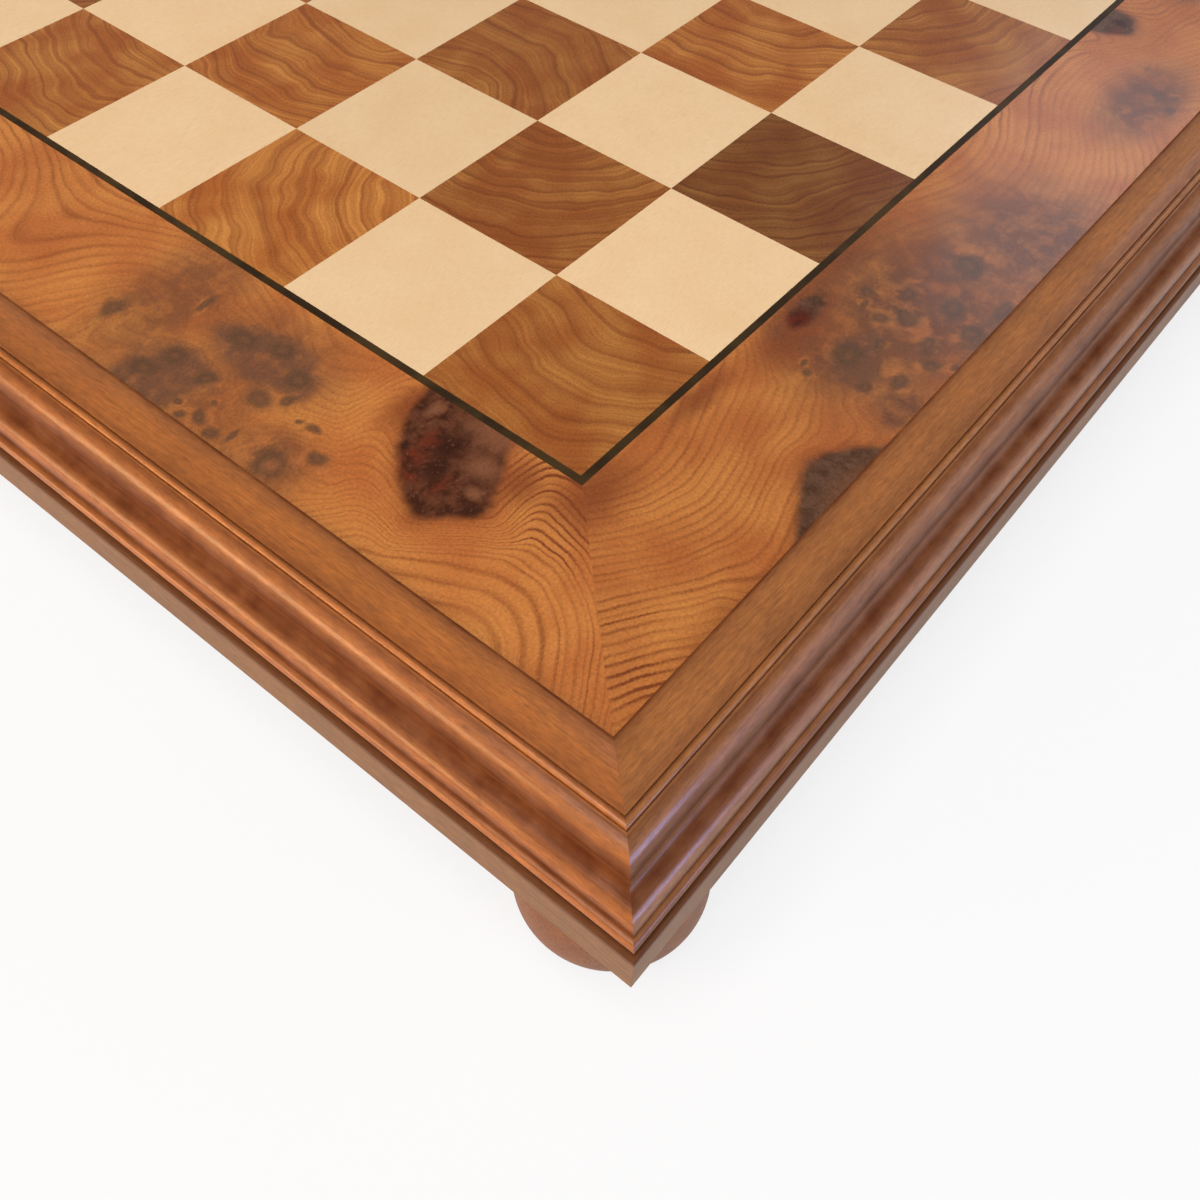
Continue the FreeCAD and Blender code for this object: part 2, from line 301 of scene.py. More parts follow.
# ----------------------------------------
# Stringing. Four 2 mm strips of dyed veneer round the field, mitred at its corners.
# The dye is a brownish black with olive clouds in it, and does not quite hide the fibres.

SIDES = ("right", "back", "left", "front")

for turns, side in enumerate(SIDES):
    dyed, t, place = start("veneer_dyed_black_" + side)
    run = "yx"[turns % 2]
    _, fibres, _ = straight_grain(t, place, run, ring_width=1.5, seed=11.0 + turns)
    black = add(t, "Mix", {0: fibres, 6: linear("#1f1409"), 7: linear("#3c2a10")}, **MIXED)
    blotches = add(t, "TexNoise", {"Vector": place, "Scale": 0.09, "Detail": 2.0})
    blotches = add(t, "MapRange", [blotches, 0.42, 0.62, 0.0, 0.8])
    black = add(t, "Mix", {0: blotches, 6: black, 7: linear("#473519")}, **MIXED)
    surface(
        dyed, fibres, depth=0.01, Base_Color=black, Roughness=0.48, Specular_IOR_Level=0.2,
        Coat_Weight=0.05, Coat_Roughness=0.2, **LACQUER,
    )
    dress("stringing_" + side, dyed)

# ----------------------------------------
# Border. Four bands of elm burl, mitred at the corners, 42 mm wide. The growth rings flow round
# dark knots and round clusters of small eyes, where the tree had buds under its bark.

FIELD_EDGE = 182.0

# What lies where in each band, in mm: along the band from its middle, then out from the stringing.
# Ring is how far apart the growth rings stand, and sense which way they count up. Hills bend the
# rings; each has its place, its reach along and out, and its height. Knots are outlines, with the
# slopes, the level and the pace of the rings that wrap round them. Masses are outlines of smoky
# brown wood. The rest are ovals, by half their length and half their width: dark cores, red veins
# and paler spots in the knots, eyes where buds grew, haze round them, as strong as its share says,
# and patches full of small eyes; then bold and quiet places of the rings, scorched brown wood and
# painted shade in one colour, and bright wood. Lean years put more rings between two heights. Knot
# wood is the knots' own two browns, and tone how light the rest of the leaf is.
FRONT_LEAF = {
    "sense": -1.0,
    "ring": 2.9,
    "hills": [
        (-169, 20, 43, 400, 40), (0, 20, 9999, 25, 5), (-122, 20, 24, 60, 16),
        (-112, 22, 12, 12, -9), (-84, 32, 12, 10, 8), (-98, 12, 9, 8, 5),
        (-30, 5, 40, 60, 18), (25, 30, 22, 18, -14), (90, 10, 38, 60, 22), (150, 34, 20, 20, -14),
        (200, 20, 40, 300, 20),
    ],
    "knots": [
        ([(-169, 43), (-147, 30.2), (-136, 36), (-128.5, 45), (-140, 55)], (0.0, -0.6, 26.0, 0.6)),
        (
            [
                (-115.5, 6.5), (-110, 9.2), (-103, 8.6), (-97.5, 6), (-100, 1.6), (-109, 1.4),
                (-114, 3.4),
            ],
            (0.0, -0.8, 20.0, 0.3),
        ),
        ([(53, -4), (55, 7), (61, 11), (70, 8), (71, -4)], (0.0, -0.5, 14.0, 0.8)),
    ],
    "masses": [
        [
            (-124, 25), (-121, 30.5), (-112, 28), (-101, 22.5), (-105, 18), (-112, 15.5),
            (-119, 18.5),
        ],
        [(-90, 31), (-83, 35), (-77, 30), (-79, 26), (-88, 26.5)],
        [(-76, 21), (-73, 30), (-66, 32), (-61, 26), (-65, 19)],
        [(-95, 39), (-89, 35), (-83, 37.5), (-71, 38), (-70, 46), (-95, 46)],
    ],
    "lean": (10, 38, 3.0),
    "bold": [(-208, 34, 10, 8)],
    "quiet": [(-188, 20, 12, 14), (-96, 20, 30, 24)],
    # Several of these are painted shade: along the stringing, and by the frame near the left
    # corner.
    "burnt_and_shaded": [
        (-182, 3, 14, 9), (-146, 3, 14, 4), (-84, 1, 26, 7), (-118, 8, 14, 8), (-99, 3, 11, 6),
        (-190, 47, 18, 9),
    ],
    "bright": [(-142, 24, 12, 4)],
    "cores": [(-110, 5.2, 4.6, 2.8), (64, 5, 3, 3)],
    "reds": [(-111, 5.2, 5.6, 3.6), (58, 6, 3, 3)],
    "pales": [(-100, 6, 1, 1), (-146, 48, 16, 9)],
    "eyes": [
        (-112.5, 20.5, 4.6, 4.2), (-119.5, 28.5, 2.4, 1.8), (-112.5, 34, 3.4, 2.4),
        (-103.5, 36.4, 2.6, 2.6), (-98, 32.6, 3.4, 2.6), (-100.5, 41, 1.4, 1.2),
        (-123.8, 16.8, 1.8, 1.2), (-121.3, 14.6, 1.5, 1.1), (-97.5, 19.5, 2.2, 2.8),
        (-91.5, 12.8, 3.0, 2.0), (-95.5, 14.3, 2.0, 1.0), (-93, 24, 3.2, 4.2),
        (-85, 20, 4.0, 2.0), (-83, 30.5, 4.6, 3.4), (-67, 26, 4.6, 4.4), (-88, 38.5, 4.4, 3.0),
        (-76, 40.5, 4.0, 2.0), (-101, 4.6, 5.4, 2.8), (-105, 24, 2.6, 1.8),
    ],
    "haze": [
        (-86, 24, 46, 28), (-113, 22, 17, 13), (-48, 34, 30, 30), (-106, 5, 16, 7),
        (-120, 38, 10, 7), (30, 28, 26, 12), (148, 27, 24, 13), (100, 12, 14, 8),
    ],
    "haze_share": 0.92,
    "knot_wood": ("#483020", "#614535"),
    "tone": 1.0,
    "patches": [(32, 28, 26, 12), (148, 27, 28, 13), (100, 12, 16, 8)],
}
LEFT_LEAF = {
    "sense": 1.0,
    "ring": 2.7,
    "hills": [
        (190, 20, 38, 400, 40), (0, 55, 9999, 22, -14), (176, 2, 10, 12, 8), (150, 45, 22, 26, 15),
        (114, 13, 14, 10, -8), (98, 26, 12, 12, 8), (129.6, 36, 8, 8, 6), (70, 10, 30, 60, 14),
        (30, 34, 24, 20, -14), (-20, 8, 36, 60, 20), (-75, 30, 20, 18, -14), (-130, 6, 34, 60, 22),
        (-200, 22, 40, 300, 24),
    ],
    "knots": [
        (
            [
                (166.5, 4), (174.5, 17.5), (162, 30), (150, 22.5), (141, 12), (137, 0), (136, -8),
                (161, -8),
            ],
            (0.3, 0.7, -22.0, 1.25),
        ),
        ([(-123, 45), (-119, 35), (-111, 31), (-103, 36), (-102, 46)], (0.0, 0.7, 30.0, -0.6)),
    ],
    "masses": [
        [
            (121.5, 21), (120, 14.5), (114, 9.5), (107, 7.5), (97, 10), (88, 16), (91, 22),
            (104, 24.5),
        ],
        [(104, 30), (98, 25.5), (86, 25.5), (80.5, 33), (82, 44), (98, 44)],
    ],
    "lean": (46, 63, 5.0),
    "bold": [(185, 8, 14, 13), (174, 5, 8, 8)],
    "quiet": [(132, 12, 12, 13), (74, 22, 16, 30), (100, 28, 26, 20)],
    "burnt_and_shaded": [(186, 4, 11, 9), (172, 8, 7, 8), (139, 7, 5, 9)],
    "bright": [(160, 39, 32, 9), (190, 34, 14, 8)],
    "cores": [
        (153.5, 10, 3.6, 4.8), (156, 16.5, 2.8, 3.6), (146.8, 16.5, 1.8, 2.6),
        (161, 26.8, 2.8, 2.0), (169.5, 20.5, 3.0, 2.6),
    ],
    "reds": [
        (150.5, 16.5, 2.6, 3.4), (153, 21.3, 3.2, 1.5), (160, 18.5, 1.5, 3.2),
        (149.5, 11, 2.2, 3.0),
    ],
    "pales": [
        (159, 0.5, 9.5, 6.4), (163.5, 9.5, 4.6, 4.6), (167, 16, 2.4, 1.8), (144.5, 4, 1.7, 3.2),
        (129.6, 37.4, 2.4, 2.2),
    ],
    "eyes": [
        (129, 37, 5.0, 4.6), (135.5, 29.8, 3.0, 2.5), (129, 24.6, 2.2, 1.3),
        (125.5, 24.6, 1.0, 0.9), (113.8, 26.2, 4.0, 3.0), (100, 29.5, 3.2, 2.6),
        (108, 33.4, 1.3, 1.2), (117.5, 37, 0.9, 3.0), (113.8, 39, 2.6, 2.1),
        (108.3, 38.2, 2.5, 2.2), (101, 38, 1.0, 0.9), (104.5, 40.3, 1.8, 1.2),
        (115.5, 17, 3.4, 3.0), (118.5, 22.5, 1.6, 2.2), (97, 16, 4.4, 3.2), (106, 13, 3.6, 2.4),
        (89, 29.5, 3.4, 3.0), (87, 36, 4.2, 3.2), (66, 28, 2.6, 4.4), (81, 14, 1.3, 4.4),
    ],
    "haze": [
        (104, 16, 24, 16), (96, 34, 26, 13), (128, 36, 13, 11), (74, 16, 16, 28), (-20, 26, 26, 12),
        (-84, 24, 22, 13),
    ],
    "haze_share": 0.74,
    "knot_wood": ("#3b1a0d", "#5f3623"),
    "tone": 1.09,
    "patches": [(-20, 26, 26, 13), (-84, 24, 26, 14), (-170, 16, 18, 10)],
}
leaves = (LEFT_LEAF, FRONT_LEAF, LEFT_LEAF, FRONT_LEAF)


def elm_burl(name, turns, leaf, seed):
    """Elm burl, sliced and lacquered: glowing orange brown, ringed, with dark soft-edged eyes."""
    material, t, place = start(name)
    turned = add(
        t, "VectorRotate", {"Vector": place, "Angle": -turns * math.pi / 2}, rotation_type="Z_AXIS"
    )
    strip = add(t, "VectorMath", [turned, (1, 1, 0), (-FIELD_EDGE, 0, 0)], operation="MULTIPLY_ADD")
    loose = wobble(t, strip, size=14.0, reach=1.3, seed=seed)
    loose = wobble(t, loose, size=3.5, reach=0.2, seed=seed + 40)

    # Ring count: out across the band, bent by the hills.
    out = add(t, "SeparateXYZ", [loose], out=0)
    height = add(t, "Math", [out, leaf["sense"]], operation="MULTIPLY")
    for along, across, reach_along, reach_across, rise in leaf["hills"]:
        scale = (1 / reach_across, 1 / reach_along, 0)
        shift = (-across / reach_across, -along / reach_along, 0)
        slope = add(t, "VectorMath", [loose, scale, shift], operation="MULTIPLY_ADD")
        slope = add(t, "VectorMath", [slope, slope], out="Value", operation="DOT_PRODUCT")
        slope = add(t, "Math", [slope, -1.0], operation="MULTIPLY")
        slope = add(t, "Math", [slope], operation="EXPONENT")
        height = add(t, "Math", [slope, rise, height], operation="MULTIPLY_ADD")

    def joined(gaps, operation, soft):
        """One distance out of several, with soft joints between them."""
        found, *others = gaps
        for gap in others:
            found = add(t, "Math", [found, gap, soft], operation=operation)
        return found

    def nearest(ovals, around, soft=0.3):
        """How far the nearest oval's middle is, where 1 is its edge."""
        gaps = []
        for along, across, half_length, half_width in ovals:
            scale = (1 / half_width, 1 / half_length, 0)
            shift = (-across / half_width, -along / half_length, 0)
            gap = add(t, "VectorMath", [around, scale, shift], operation="MULTIPLY_ADD")
            gaps.append(add(t, "VectorMath", [gap], out="Value", operation="LENGTH"))
        return joined(gaps, "SMOOTH_MIN", soft)

    def beyond(corners, around):
        """How many mm a place lies outside a rounded outline, and less than 0 inside it."""
        corner_round = 4.0
        spots = [Vector((across, along)) for along, across in corners]
        middle = sum(spots, Vector((0, 0))) / len(spots)
        gaps = []
        for spot, after in zip(spots, spots[1:] + spots[:1]):
            edge = (after - spot).normalized()
            facing = Vector((edge.y, -edge.x))
            if facing.dot(spot - middle) < 0:
                facing = -facing
            side = facing.to_3d()
            gap = add(t, "VectorMath", [around, side], out="Value", operation="DOT_PRODUCT")
            gaps.append(add(t, "Math", [gap, facing.dot(spot)], operation="SUBTRACT"))
        return joined(gaps, "SMOOTH_MAX", corner_round)

    def share(gap, inner, outer, most):
        """Full inside the inner distance, falling softly to nothing at the outer one."""
        return add(t, "MapRange", [gap, inner, outer, most, 0.0], **SOFT)

    # The rings turn aside near a knot and wrap round it.
    for corners, (slope_along, slope_out, level, pace) in leaf["knots"]:
        gap = add(t, "Math", [beyond(corners, loose), 0.0], operation="MAXIMUM")
        close = share(gap, inner=0.0, outer=14.0, most=1.0)
        slopes = (slope_out, slope_along, 0)
        wrap = add(t, "VectorMath", [loose, slopes], out="Value", operation="DOT_PRODUCT")
        wrap = add(t, "Math", [wrap, level], operation="ADD")
        wrap = add(t, "Math", [gap, pace, wrap], operation="MULTIPLY_ADD")
        height = add(t, "Mix", {0: close, 2: height, 3: wrap})

    ragged = wobble(t, strip, size=8.0, reach=1.8, seed=seed + 80)
    ragged = wobble(t, ragged, size=2.6, reach=0.5, seed=seed + 120)
    lumpy = wobble(t, strip, size=6.0, reach=1.3, seed=seed + 160)
    haze = nearest(leaf["haze"], ragged, soft=0.4)
    eye, core, red, pale, burnt_and_shaded = (
        nearest(leaf[name], ragged) for name in ("eyes", "cores", "reds", "pales", "burnt_and_shaded")
    )
    bold, quiet, bright = (nearest(leaf[name], loose) for name in ("bold", "quiet", "bright"))
    knot = [beyond(corners, lumpy) for corners, _ in leaf["knots"]]
    knot = joined(knot, "SMOOTH_MIN", soft=1.0)
    mass = [beyond(corners, ragged) for corners in leaf["masses"]]
    mass = joined(mass, "SMOOTH_MIN", soft=1.0)

    # Patches: small eyes from 0.6 to 3 mm in radius, crowded together.
    between_eyes = 7.5
    crowd = {"Vector": ragged, "Scale": 1 / between_eyes, "Randomness": 1.0}
    cells = add(t, "TexVoronoi", crowd, out="Distance")
    kind = add(t, "TexVoronoi", crowd, out="Color")
    size = add(t, "SeparateColor", [kind], out=0)
    size = add(t, "MapRange", [size, 0.0, 1.0, 0.08, 0.42])
    pip = add(t, "Math", [cells, size], operation="DIVIDE")
    outside = nearest(leaf["patches"], loose, soft=0.1)
    outside = add(t, "MapRange", [outside, 0.75, 1.25, 0.0, 6.0])
    pip = add(t, "Math", [pip, outside], operation="ADD")
    eye = add(t, "Math", [eye, pip, 0.3], operation="SMOOTH_MIN")

    mist = add(t, "TexNoise", {"Vector": ragged, "Scale": 0.16, "Detail": 4.0, "Roughness": 0.6})
    mist = add(t, "MapRange", [mist, 0.36, 0.58, 0.64, 1.0], **SOFT)
    smoky = add(t, "Math", [share(haze, 0.3, 1.3, leaf["haze_share"]), mist], operation="MULTIPLY")
    massed = add(t, "Math", [share(mass, -2.4, 2.2, 0.9), mist], operation="MULTIPLY")
    dark = share(eye, 0.3, 1.35, 0.85)
    near_eye = share(eye, 0.8, 3.2, 1.0)
    knotted = share(knot, -1.8, 1.0, 0.97)

    # Rings crowd and stir where the eyes are.
    stir = add(t, "TexNoise", {"Vector": loose, "Scale": 0.2, "Detail": 2.0})
    stir = add(t, "Math", [stir, near_eye], operation="MULTIPLY")
    height = add(t, "Math", [stir, 6.0, height], operation="MULTIPLY_ADD")
    lean_from, lean_to, more_rings = leaf["lean"]
    lean = add(t, "MapRange", [height, lean_from, lean_to, 0.0, more_rings])
    count = add(t, "Math", [height, 1 / leaf["ring"], lean], operation="MULTIPLY_ADD")
    line, shade = growth_lines(t, count, strip, wide=0.3, strong=0.85, ragged=0.16)
    clear = add(t, "Math", [dark, knotted], operation="MAXIMUM")
    clear = add(t, "Math", [clear, massed], operation="MAXIMUM")
    clear = add(t, "Math", [1.0, clear], operation="SUBTRACT")
    line = add(t, "Math", [line, clear], operation="MULTIPLY")
    faint = add(t, "MapRange", [haze, 0.8, 2.4, 0.3, 1.0])
    faint = add(t, "Math", [faint, share(bold, 0.4, 1.5, 2.6)], operation="ADD")
    line = add(t, "Math", [line, faint], operation="MULTIPLY", use_clamp=True)
    still = add(t, "Math", [1.0, share(quiet, 0.3, 1.3, 0.4)], operation="SUBTRACT")
    line = add(t, "Math", [line, still], operation="MULTIPLY")

    # Fibres lie along the rings: noise drawn out by the ring count.
    thread = add(t, "CombineXYZ", [add(t, "Math", [count, 7.0], operation="MULTIPLY"), 0.0, seed])
    thread = add(t, "TexNoise", {"Vector": thread, "Scale": 1.0, "Detail": 3.0, "Roughness": 0.65})
    thread = add(t, "MapRange", [thread, 0.38, 0.66, 0.0, 0.45])
    flame = add(t, "TexNoise", {"Vector": loose, "Scale": 0.045, "Detail": 3.0})
    flame = add(t, "MapRange", [flame, 0.32, 0.68, 0.0, 1.0], **SOFT)
    grit = add(t, "TexNoise", {"Vector": strip, "Scale": 1.4, "Detail": 3.0, "Roughness": 0.9})
    grit = add(t, "MapRange", [grit, *SPREAD, 0.72, 1.26])

    flame = add(t, "Math", [flame, share(bright, 0.2, 1.4, 0.8)], operation="MAXIMUM")
    wood = add(t, "Mix", {0: flame, 6: linear("#b56832"), 7: linear("#ce8743")}, **MIXED)
    shade = add(t, "Math", [shade, 0.3], operation="MULTIPLY")
    glow = add(t, "Math", [near_eye, mist], operation="SUBTRACT", use_clamp=True)
    # Each figure in the wood is laid over the ones before it.
    # One colour lays both scorched brown wood and painted shade.
    figures = (
        (thread, "#a15a27"), (shade, "#9d5a2a"), (line, "#7a3c17"),
        (share(burnt_and_shaded, 0.1, 1.3, 0.82), "#7f3f1b"), (smoky, "#68402a"), (glow, "#c97b3f"),
        (massed, "#6e4832"), (dark, "#573e29"), (share(eye, 0.0, 0.6, 0.6), "#7d4f34"),
        (share(pale, 0.2, 1.2, 0.75), "#925a36"), (share(knot, -0.5, 3.6, 0.5), "#86421d"),
    )
    for figure, colour in figures:
        wood = add(t, "Mix", {0: figure, 6: wood, 7: linear(colour)}, **MIXED)
    veins = add(t, "TexNoise", {"Vector": ragged, "Scale": 0.3, "Detail": 4.0, "Roughness": 0.7})
    veins = add(t, "MapRange", [veins, 0.36, 0.62, 0.0, 1.0], **SOFT)
    knot_dark, knot_light = (linear(colour) for colour in leaf["knot_wood"])
    centre = add(t, "Mix", {0: veins, 6: knot_dark, 7: knot_light}, **MIXED)
    reddish = add(t, "MapRange", [veins, 0.0, 1.0, 0.15, 1.0])
    reddish = add(t, "Math", [share(red, 0.2, 1.5, 0.8), reddish], operation="MULTIPLY")
    # Pale flecks, about half a millimetre across, where the knot's fibres stand on end.
    flecks = add(t, "TexNoise", {"Vector": ragged, "Scale": 0.9, "Detail": 2.0, "Roughness": 0.8})
    flecks = add(t, "MapRange", [flecks, 0.62, 0.7, 0.0, 0.4])
    figures = (
        (share(pale, 0.2, 1.3, 0.82), "#85553a"), (share(core, 0.2, 1.4, 0.9), "#2e120a"),
        (reddish, "#682312"), (flecks, "#8a6248"),
    )
    for figure, colour in figures:
        centre = add(t, "Mix", {0: figure, 6: centre, 7: linear(colour)}, **MIXED)
    wood = add(t, "VectorMath", {0: wood, 3: leaf["tone"]}, operation="SCALE")
    wood = add(t, "Mix", {0: knotted, 6: wood, 7: centre}, **MIXED)
    wood = add(t, "VectorMath", {0: wood, 3: grit}, operation="SCALE")
    worn = add(t, "TexNoise", {"Vector": strip, "Scale": 0.9, "Detail": 2.0})
    gloss = add(t, "MapRange", [worn, *SPREAD, 0.24, 0.32])
    level = add(t, "MapRange", [knotted, 0.0, 1.0, 0.5, 0.25])
    surface(
        material, line, depth=-0.02, Base_Color=wood, Roughness=gloss, Specular_IOR_Level=level,
        Coat_Weight=0.15, Coat_Roughness=0.1, **LACQUER,
    )
    return material


for turns, side in enumerate(SIDES):
    burl = elm_burl("elm_burl_lacquered_" + side, turns, leaves[turns], seed=17.0 * turns)
    dress("border_veneer_" + side, burl)

# ----------------------------------------
# Frame rails. Four rails of straight-grained hardwood, run through a spindle moulder and mitred.
# The red-brown stain has settled in the quirks and the cove, and is rubbed thin on the beads.
# The same darkening also holds painted shade in the quirks, the cove, along the inner edge and
# on the lower members.

PANEL_EDGE = 224.0
# The colour of settled stain, which also serves for painted shade.
STAIN_AND_SHADE_COLOUR = "#54240c"


def stained(name, run, seed, stain_and_shade, light, mid, deep, rough, coat):
    """Stained hardwood, planed and given a satin lacquer: fibres, pore dashes, stain and painted
    shade.
    """
    material, t, place = start(name)
    bands, fibres, pores = straight_grain(t, place, run, ring_width=7.0, seed=seed)
    wood = add(t, "Mix", {0: bands, 6: linear(mid), 7: linear(light)}, **MIXED)
    fine = add(t, "MapRange", [fibres, 0.35, 0.7, 0.0, 0.5])
    dashes = add(t, "Math", [pores, 0.6], operation="MULTIPLY")
    for figure in (fine, dashes):
        wood = add(t, "Mix", {0: figure, 6: wood, 7: linear(deep)}, **MIXED)
    fleck_scale = {"x": (0.3, 1.2, 1.2), "y": (1.2, 0.3, 1.2)}[run]
    flecked = add(t, "VectorMath", [place, fleck_scale], operation="MULTIPLY")
    flecked = add(
        t, "TexNoise", {"Vector": flecked, "Scale": 1.0, "Detail": 3.0, "Roughness": 0.75}
    )
    flecked = add(t, "MapRange", [flecked, *SPREAD, 0.78, 1.24])
    cloudy = add(t, "TexNoise", {"Vector": place, "Scale": 0.07, "Detail": 3.0})
    cloudy = add(t, "MapRange", [cloudy, *SPREAD, 0.9, 1.1])
    for lightness in (flecked, cloudy):
        wood = add(t, "VectorMath", {0: wood, 3: lightness}, operation="SCALE")
    # Stain and painted shade, laid on in the stain's colour.
    stain_and_shade_amount = stain_and_shade(t, place)
    wood = add(t, "Mix", {0: stain_and_shade_amount, 6: wood, 7: linear(STAIN_AND_SHADE_COLOUR)}, **MIXED)
    relief = add(t, "Math", [fibres, pores], operation="SUBTRACT")
    gloss = add(t, "MapRange", [fibres, *SPREAD, rough, rough + 0.08])
    gloss = add(t, "Math", [stain_and_shade_amount, 0.2, gloss], operation="MULTIPLY_ADD")
    level = add(t, "MapRange", [stain_and_shade_amount, 0.2, 1.0, 0.5, 0.1])
    clear = add(t, "MapRange", [stain_and_shade_amount, 0.2, 0.8, coat, 0.0])
    surface(
        material, relief, depth=0.02, Base_Color=wood, Roughness=gloss, Specular_IOR_Level=level,
        Coat_Weight=clear, Coat_Roughness=0.18, **LACQUER,
    )
    return material


def outward(tree, place):
    """How far out a point is, square to its side, its height, and its stain from a mitre."""
    place = add(tree, "VectorMath", [place], operation="ABSOLUTE")
    x, y, z = (add(tree, "SeparateXYZ", [place], out=axis) for axis in range(3))
    off_mitre = add(tree, "Math", [x, y], operation="SUBTRACT")
    off_mitre = add(tree, "Math", [off_mitre], operation="ABSOLUTE")
    joint = add(tree, "MapRange", [off_mitre, 0.05, 0.3, 0.15, 0.0])
    return add(tree, "Math", [x, y], operation="MAXIMUM"), z, joint


def moulding_stain_and_shade(tree, place, by_height):
    """Stain and painted shade on the moulding: by distance out on its top, by height below that."""
    out, height, joint = outward(tree, place)
    top_from, top_to, top_ends = PANEL_EDGE - 0.5, PANEL_EDGE + 15.5, PANEL_EDGE + 15.2
    side_from, side_to = 26.0, 56.0
    under_top, wash = 48.0, (0.2, 0.2, 0.2, 1.0)
    top = add(tree, "MapRange", [out, top_from, top_to, 0.0, 1.0])
    # Out from the panel's edge: darker at the inner edge and in the quirks, partly settled stain
    # and partly painted shade.
    on_top = [
        (0.0, 1.0), (0.9, 0.9), (1.5, 0.45), (3.0, 0.18), (6.0, 0.0), (9.5, 0.15), (11.6, 0.45),
        (12.3, 0.3), (12.75, 0.3), (13.1, 0.45), (13.6, 0.1), (14.0, 0.0), (14.3, 0.05),
        (14.7, 0.45), (15.2, 0.75), (16.0, 0.55),
    ]
    stops = [(at / (top_to - top_from), [v, v, v, 1.0]) for at, v in on_top]
    top = add(tree, "ValToRGB", [top], stops=stops)
    # The underside and the rebate only got a thin wash.
    under = add(tree, "Math", [height, under_top], operation="LESS_THAN")
    top = add(tree, "Mix", {0: under, 6: top, 7: wash}, **MIXED)
    side = add(tree, "MapRange", [height, side_from, side_to, 0.0, 1.0])
    stops = [((z - side_from) / (side_to - side_from), [v, v, v, 1.0]) for z, v in by_height]
    side = add(tree, "ValToRGB", [side], stops=stops)
    past_top = add(tree, "Math", [out, top_ends], operation="GREATER_THAN")
    stain_and_shade = add(tree, "Mix", {0: past_top, 6: top, 7: side}, **MIXED)
    stain_and_shade = add(tree, "Math", [stain_and_shade, joint], operation="MAXIMUM")
    uneven = add(tree, "TexNoise", {"Vector": place, "Scale": 0.15, "Detail": 3.0})
    uneven = add(tree, "MapRange", [uneven, *SPREAD, 0.75, 1.0])
    return add(tree, "Math", [stain_and_shade, uneven], operation="MULTIPLY")


# The left and right rails are given a redder colour, their stain light on the beads and heavy in
# the cove; the front and back rails a greyer one, with the stain laid the other way about. Both
# differences are partly painted light and shade: the warm light on the left side and the cooler,
# dimmer light on the front are painted into the colours and the stain.
rail_colours_and_light = (("#c97b36", "#b76829", "#93501d"), ("#b4773f", "#a16430", "#814a22"))
# By height on the sides: the quirks, the cove and the lower members are darkened, partly by settled
# stain and partly by painted shade.
stain_and_shade_by_height = (
    [
        (26.0, 0.2), (39.2, 0.9), (39.9, 0.8), (40.2, 0.3), (41.0, 0.0), (41.5, 0.1), (41.75, 0.5),
        (42.1, 0.65), (42.6, 0.85), (43.2, 0.95), (43.9, 0.5), (44.5, 0.25), (45.2, 0.25),
        (45.8, 0.6), (46.4, 0.9), (47.4, 0.95), (48.2, 0.8), (48.7, 0.6), (49.4, 0.9), (50.6, 0.8),
        (51.8, 0.6), (52.6, 0.25), (53.2, 0.25), (53.7, 0.55), (54.0, 0.75),
    ],
    [
        (26.0, 0.2), (39.2, 1.0), (39.9, 1.0), (40.2, 0.65), (41.0, 0.5), (41.5, 0.5), (41.75, 0.5),
        (42.1, 0.55), (42.6, 0.6), (43.2, 0.5), (43.9, 0.25), (44.8, 0.1), (45.2, 0.25),
        (45.8, 0.7), (46.4, 0.95), (47.4, 0.5), (48.2, 0.3), (48.7, 0.35), (49.4, 0.8),
        (50.6, 0.75), (51.8, 0.5), (52.6, 0.25), (53.2, 0.25), (53.7, 0.55), (54.0, 0.75),
    ],
)
for turns, side in enumerate(SIDES):
    rail = stained(
        "hardwood_stained_satin_" + side, "yx"[turns % 2], 23.0 + 5 * turns,
        functools.partial(moulding_stain_and_shade, by_height=stain_and_shade_by_height[turns % 2]),
        *rail_colours_and_light[turns % 2], rough=0.4, coat=0.45,
    )
    dress("frame_rail_" + side, rail)

# ----------------------------------------
# Mitre splines. Four loose tongues of beech glued across the mitres, inside the rails.
# Beech, planed and left bare: pale pinkish brown with short dark flecks.


def bare_beech(name, seed):
    """Beech with its grain along x: soft bands, and flecks 2 mm long where rays are cut."""
    material, t, place = start(name)
    bands, fibres, _ = straight_grain(t, place, "x", ring_width=5.0, seed=seed)
    flecks = add(t, "VectorMath", [place, (0.45, 3.2, 3.2)], operation="MULTIPLY")
    flecks = add(t, "TexVoronoi", {"Vector": flecks, "Scale": 1.0}, out="Distance")
    flecks = add(t, "MapRange", [flecks, 0.12, 0.3, 0.6, 0.0])
    wood = add(t, "Mix", {0: bands, 6: linear("#b98a5c"), 7: linear("#d0a677")}, **MIXED)
    fine = add(t, "Math", [fibres, 0.3], operation="MULTIPLY")
    for figure, colour in ((fine, "#a87648"), (flecks, "#8a5c37")):
        wood = add(t, "Mix", {0: figure, 6: wood, 7: linear(colour)}, **MIXED)
    return surface(material, fibres, depth=0.05, Base_Color=wood, Roughness=0.75)


CORNERS = {
    "back_right": (1, 1), "back_left": (-1, 1), "front_left": (-1, -1), "front_right": (1, -1),
}
tongue = bare_beech("beech_planed_bare_tongue", seed=3.0)
for corner in CORNERS:
    dress("mitre_spline_" + corner, tongue)

# ----------------------------------------
# Plinth. Four plain strips glued under the moulding, of the same hardwood as the rails.
# Their stain is thinner and greyer, and their faces are nearly matt.


